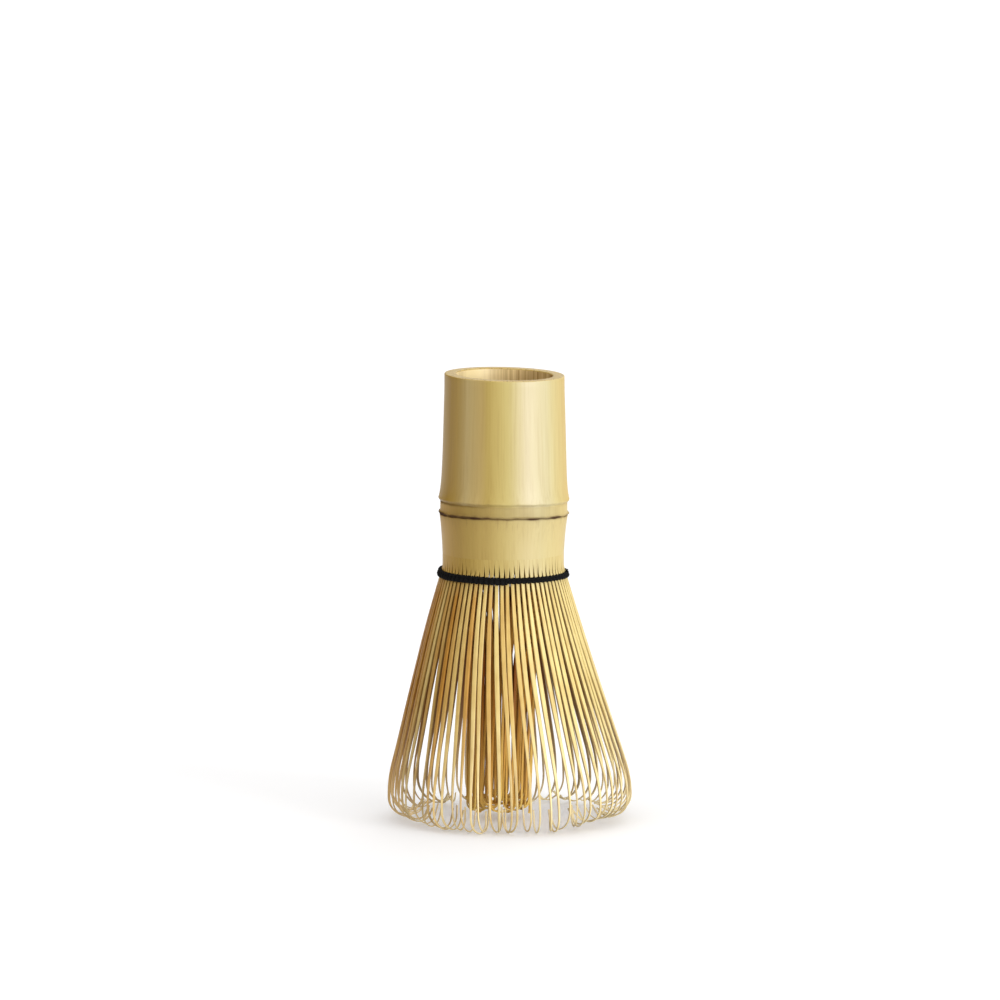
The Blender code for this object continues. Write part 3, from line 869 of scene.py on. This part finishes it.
class WHISK_OT_inner_tines(bpy.types.Operator):
    """Split and bend the inner tines, which make the bundle"""

    bl_idname = "whisk.inner_tines"
    bl_label = "Inner tines"

    def execute(self, context):
        """Each line drops from the collar behind the thread, leans in, turns down into its layer
        of the bundle and curls in at its tip. Seeded draws lean the tines on each other."""
        tines = context.scene.whisk_tines
        random = np.random.default_rng(67)
        count, column, stray = tines.pairs, (tines.pairs, 1), tines.unevenness
        azimuth = (np.arange(count) - 1.5) * math.tau / count
        top, root = THREAD_MIDDLE + 4.8 * MM, INNER_ROOT
        # Every five tines lie in three layers, the first the outermost.
        layer = np.array([0, 1, 2, 0, 1])[np.arange(count) % 5] + 0.3 * random.normal(size=count)

        # The lean takes the straight from the bend inwards to the bend down into the layer.
        bend_in, bend_down = 10 * MM, 30 * MM
        bends = bend_in + bend_down
        lean = np.radians(20) * np.ones(count)
        inwards = root - tines.bundle_diameter / 2 + np.clip(layer, -0.2, 2.2) * 0.8 * MM
        slant = (inwards - bends * (1 - np.cos(lean))) / np.sin(lean)
        drop = bends * np.sin(lean) + slant * np.cos(lean)
        lowest = (1.6 + 1.3 * np.clip(layer, 0, 2) + 1.2 * random.random(count)) * MM
        tip_radius = (2.5 + 0.8 * stray * random.uniform(-1, 1, count)) * MM
        tip_turn = np.radians(112 + stray * random.uniform(-25, 35, count))
        hanging = THREAD_MIDDLE - drop - lowest - tip_radius
        same = np.ones(count)
        strokes = [
            (top - THREAD_MIDDLE + 0 * same, 0 * same, 2),
            (bend_in * lean, -lean, 4),
            (slant, 0 * same, 4),
            (bend_down * lean, lean, 6),
            (hanging, 0 * same, 10),
            (tip_radius * tip_turn, -tip_turn, 8),
        ]
        widest = sum(stroke[2] for stroke in strokes[:5])
        radii, heights, walked = bent_lines(root, top, strokes)

        # The tip swings aside from where it starts to curl, and each tine bows and leans.
        under = np.clip(THREAD_MIDDLE - heights, 0, None) / THREAD_MIDDLE
        bow = np.sin(math.pi * np.clip(under, 0, 1))
        swing = np.radians(stray * (35 * ripple(azimuth, 12, 71) + random.normal(0, 25, count)))
        inward = np.where(np.arange(radii.shape[1]) > widest, radii[:, widest, None] - radii, 0)
        radii = radii + inward * (1 - np.cos(swing[:, None]))
        aside = inward * np.sin(swing[:, None])
        aside += under**2 * stray * 0.35 * MM * random.normal(size=column)
        aside += bow * stray * 0.3 * MM * random.normal(size=column)
        aside += np.clip(3 * under, 0, 1) * SKIRT_TURN * radii
        radii = radii + bow * stray * 0.3 * MM * random.normal(size=column)
        middle = placed_lines(radii, heights, azimuth, aside)
        # The bundle hangs from the collar, and its foot stands a little to the left.
        middle[..., 0] += drift(THREAD_MIDDLE + 0 * heights)
        middle[..., 0] -= 1.1 * MM * smoothstep(under, 0.1, 1.0)

        # The wall's inner half is split last, so it stays wide above the thread.
        share = np.clip(walked / walked[:, widest, None], 0, 1)
        half = (0.56 + 0.10 * smoothstep(share, 0.1, 0.4) - 0.08 * share) * MM / 2
        half = half + 0.19 * MM * (1 - smoothstep(share, 0.03, 0.10))
        depth = (0.55 - 0.27 * share) * MM
        cut = 0.25 + 0 * share
        twist = np.radians(stray * random.normal(0, 25, count))[:, None]
        twist = smoothstep(under, 0.2, 1.0) * twist
        facing = azimuth[:, None] + smoothstep(under, 0.6, 1.0) * swing[:, None]
        sections = carried_sections(middle, facing, half, half, depth, twist, cut)
        tone = np.clip(0.62 + 0.26 * random.normal(size=count), 0, 1)
        # The inner colour is partly painted shade inside the bundle.
        base = tuple(context.scene.whisk_colours.inner)
        # The core's brown also paints the shade between the tines.
        pith_side_and_painted_shade, pale = linear_colour("#a86c20"), linear_colour("#ffe284")
        # Their roots' dark brown, pith colour and painted shade, reaches 0.40 of their length.
        finish = split_bamboo("bamboo_split_pith_side", PITH_BROWN_AND_PAINTED_SHADE, 0.40, base, pith_side_and_painted_shade, pale, 0.5)
        pieces = tine_pieces("bundle_tines", INNER_GROUPS, sections, walked, tone, finish)
        for number, piece in pieces:
            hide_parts(f"inner_tines_{number:02d}")
            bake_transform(piece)
        return {"FINISHED"}


# --- The thread ---------------------------------------------------------------------------------


def carried_circle(path, outwards, upwards, angle, radius):
    """Circles about a path's points, in the planes of outwards and upwards: a point at each angle,
    at its own radius."""
    corners = path[:, None] + (radius * np.cos(angle))[..., None] * outwards[:, None]
    return corners + (radius * np.sin(angle))[..., None] * upwards[:, None]


def strand_points(path, outwards, upwards, diameter, lay):
    """Corners of a three-ply strand carried along a path: a circle in the plane of outwards and
    upwards whose radius swells by a tenth over each ply, the plies going once round in a lay."""
    steps = np.linalg.norm(np.diff(path, axis=0), axis=1)
    walked = np.concatenate([[0], np.cumsum(steps)])
    angle = np.linspace(0, math.tau, STRAND_SIDES, endpoint=False)
    ply = 1 + 0.10 * np.cos(3 * (angle - math.tau * walked[:, None] / lay))
    ends = np.minimum(walked, walked[-1] - walked) / (0.5 * diameter)
    taper = np.sqrt(1 - (1 - np.clip(ends, 0.02, 1)) ** 2)
    radius = diameter / 2 * ply * taper[:, None]
    around = np.broadcast_to(angle * diameter / 2, radius.shape)
    along = np.broadcast_to(walked[:, None], radius.shape)
    grain = np.stack([around, 0 * around, along], -1)
    return carried_circle(path, outwards, upwards, angle, radius), grain


class WHISK_OT_thread(bpy.types.Operator):
    """Wind the thread: three rows in front of the outer tines and one behind them"""

    bl_idname = "whisk.thread"
    bl_label = "Thread"

    def execute(self, context):
        """Each row's path goes round the axis and dips towards the tines' slits once a tine, as
        half of 1 - cos of the tine's turn. The lowest row covers only part of the turn."""
        tines, thread = context.scene.whisk_tines, context.scene.whisk_thread
        size, pitch = thread.diameter, math.tau / tines.pairs
        # Radius and height in mm, start and sweep in degrees, dip in mm, and which way it weaves.
        rows = (
            (15.05, 0.40, -148, 362, 0.20, 1),
            (15.22, -0.12, -86, 360, 0.25, -1),
            (15.32, -0.45, -86, 250, 0.22, -1),
            (13.30, 0.0, -120, 356, -0.20, 1),
        )
        corners, grains = [], []
        for radius, height, start, sweep, dip, weave in rows:
            radius, height, dip = radius * MM, height * MM, dip * MM
            azimuth = np.radians(start - np.linspace(0, sweep, ROW_STATIONS))
            between = (1 - np.cos(math.tau * azimuth / pitch)) / 2
            reach = radius - dip * between + 0.05 * MM * ripple(azimuth, 9, 31)
            rise = height + weave * 0.07 * MM * np.sin(math.tau * azimuth / pitch)
            x, y = reach * np.cos(azimuth), reach * np.sin(azimuth)
            rise = rise + 0.06 * MM * ripple(azimuth, 7, 33) - THREAD_SLANT * x
            path = np.stack([x, y, THREAD_MIDDLE + rise], -1)
            outwards = np.stack([np.cos(azimuth), np.sin(azimuth), 0 * azimuth], -1)
            upwards = np.broadcast_to([0.0, 0.0, 1.0], outwards.shape)
            points, grain = strand_points(path, outwards, upwards, size, thread.lay)
            corners.append(points)
            grains.append(grain)
        points = np.stack(corners)
        points[..., 0] += drift(points[..., 2])
        faces = tube_faces(len(rows), ROW_STATIONS, STRAND_SIDES)
        finish = twisted_cotton(context.scene.whisk_colours)
        values = {"grain": np.stack(grains).reshape(-1, 3)}
        piece = make_piece("thread_winding", points, faces, finish, values)
        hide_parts("thread_front", "thread_back")
        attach(piece, HANDLE)
        return {"FINISHED"}


class WHISK_OT_knot(bpy.types.Operator):
    """Tie the thread's knot"""

    bl_idname = "whisk.knot"
    bl_label = "Knot"

    def execute(self, context):
        """The knot is a trefoil pulled small: sin t + 2 sin 2t along the thread, cos t - 2 cos 2t
        upwards and -0.8 sin 3t outwards. A circle is carried along it, and its plies swell that
        circle by a tenth, five times round in the knot's length."""
        thread = context.scene.whisk_thread
        low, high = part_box("thread_knot")
        centre = (np.array(low) + np.array(high)) / 2 - np.array([0.75, 0.0, 0.85]) * MM
        t = np.linspace(0, math.tau, 120, endpoint=False)
        along, upwards = np.sin(t) + 2 * np.sin(2 * t), np.cos(t) - 2 * np.cos(2 * t)
        curve = np.stack([-np.sin(3 * t) * 0.8, along, upwards], -1)
        path = centre + curve * 0.125 * MM
        tangent = np.roll(path, -1, 0) - np.roll(path, 1, 0)
        tangent /= np.linalg.norm(tangent, axis=1, keepdims=True)
        outwards = np.cross(tangent, curve)
        outwards /= np.linalg.norm(outwards, axis=1, keepdims=True)
        upwards = np.cross(tangent, outwards)
        angle = np.linspace(0, math.tau, STRAND_SIDES, endpoint=False)
        radius = 0.24 * thread.diameter * (1 + 0.1 * np.cos(3 * (angle - 5 * t[:, None])))
        points = carried_circle(path, outwards, upwards, angle, radius)
        grain = np.stack(np.broadcast_arrays(angle * 0.2 * MM, 0.0, t[:, None] * 0.6 * MM), -1)
        faces = tube_faces(1, len(t), STRAND_SIDES, closed=True)
        finish = twisted_cotton(context.scene.whisk_colours)
        values = {"grain": grain.reshape(-1, 3)}
        piece = make_piece("thread_knot_tied", points, faces, finish, values)
        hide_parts("thread_knot")
        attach(piece, HANDLE)
        return {"FINISHED"}


# --- The studio ---------------------------------------------------------------------------------


class WHISK_OT_studio(bpy.types.Operator):
    """Set the floor, the soft lights and the camera"""

    bl_idname = "whisk.studio"
    bl_label = "Studio"

    def execute(self, context):
        """A level sheet of paper 24 m square, 0.1 mm under the tines, five suns as wide as
        softboxes, a pale world, and the camera in front of the whisk, tipped down towards it."""
        scene, studio = context.scene, context.scene.whisk_studio
        corners = np.array([[-1, -1, 0], [1, -1, 0], [1, 1, 0], [-1, 1, 0]]) * FLOOR_REACH
        floor_mesh = bpy.data.meshes.new("studio_floor")
        floor_mesh.from_pydata((corners - [0, 0, 0.1 * MM]).tolist(), [], [(0, 1, 2, 3)])
        floor_mesh.materials.append(matt_paper("studio_paper_matt", "#f1f1f2", 0.17))
        floor = bpy.data.objects.new("studio_floor", floor_mesh)
        scene.collection.objects.link(floor)
        floor.visible_diffuse = False
        floor.visible_shadow = False
        floor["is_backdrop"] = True
        # Azimuth from the front to the right, elevation and width in degrees, strength and colour.
        lamps = (
            ("key_softbox", 47, 6, 34, 2.9, "#ffffff"),
            ("overhead_softbox", 0, 86, 100, 2.0, "#ffffff"),
            ("fill_softbox", -45, 8, 30, 0.45, "#ffe0ac"),
            ("back_softbox", 160, 25, 50, 0.7, "#ffffff"),
            ("floor_bounce", 20, -65, 60, 0.5, "#fffaf0"),
        )
        for name, azimuth, elevation, wide, power, colour in lamps:
            lamp = bpy.data.lights.new(name, "SUN")
            lamp.angle, lamp.energy = math.radians(wide), power
            lamp.color = linear_colour(colour)[:3]
            holder = bpy.data.objects.new(name, lamp)
            holder.rotation_euler = (math.radians(90 - elevation), 0, math.radians(azimuth))
            scene.collection.objects.link(holder)
        world = bpy.data.worlds.new("studio_room")
        world.use_nodes = True
        background = world.node_tree.nodes["Background"].inputs
        background["Color"].default_value, background["Strength"].default_value = WHITE, 0.18
        scene.world = world
        scene.view_settings.view_transform = "Standard"
        camera = bpy.data.objects.new("camera", bpy.data.cameras.new("camera"))
        camera.data.lens, camera.data.sensor_width, camera.data.clip_end = studio.lens, 36.0, 50.0
        camera.location = (-studio.aside, -studio.distance, studio.camera_height)
        drop = math.atan2(studio.camera_height - studio.aim_height, studio.distance)
        camera.rotation_euler = (math.pi / 2 - drop, 0, 0)
        scene.collection.objects.link(camera)
        scene.camera = camera
        return {"FINISHED"}


# --- The panel, and running it ------------------------------------------------------------------


class WHISK_PT_panel(bpy.types.Panel):
    """The whisk's sizes and colours, and a button for each of its pieces"""

    bl_idname = "WHISK_PT_panel"
    bl_label = "Tea whisk"
    bl_space_type = "VIEW_3D"
    bl_region_type = "UI"
    bl_category = "Tea whisk"

    def draw(self, context):
        """List every group's properties, and the operators below them."""
        for label in GROUPS:
            group = getattr(context.scene, label)
            box = self.layout.box()
            for prop in group.bl_rna.properties:
                if prop.identifier not in ("rna_type", "name"):
                    box.prop(group, prop.identifier)
        for operator in OPERATORS:
            self.layout.operator(operator.bl_idname)


GROUPS = {
    "whisk_culm": WhiskCulm,
    "whisk_tines": WhiskTines,
    "whisk_thread": WhiskThread,
    "whisk_colours": WhiskColours,
    "whisk_studio": WhiskStudio,
}
OPERATORS = (
    WHISK_OT_culm,
    WHISK_OT_outer_tines,
    WHISK_OT_inner_tines,
    WHISK_OT_thread,
    WHISK_OT_knot,
    WHISK_OT_studio,
)


def register():
    """Register the classes, and hang the property groups on the scene."""
    for item in (*GROUPS.values(), *OPERATORS, WHISK_PT_panel):
        bpy.utils.register_class(item)
    for label, group in GROUPS.items():
        setattr(bpy.types.Scene, label, PointerProperty(type=group))


def unregister():
    """Undo register."""
    for label in GROUPS:
        delattr(bpy.types.Scene, label)
    for item in reversed((*GROUPS.values(), *OPERATORS, WHISK_PT_panel)):
        bpy.utils.unregister_class(item)


def main():
    """Build every piece and the studio."""
    register()
    bpy.ops.whisk.culm()
    bpy.ops.whisk.outer_tines()
    bpy.ops.whisk.inner_tines()
    bpy.ops.whisk.thread()
    bpy.ops.whisk.knot()
    bpy.ops.whisk.studio()
    boxes = {"cad": CAD_BOX, "visual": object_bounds()}
    sizes = {label: [list(corner) for corner in box] for label, box in boxes.items()}


if __name__ == "__main__":
    main()
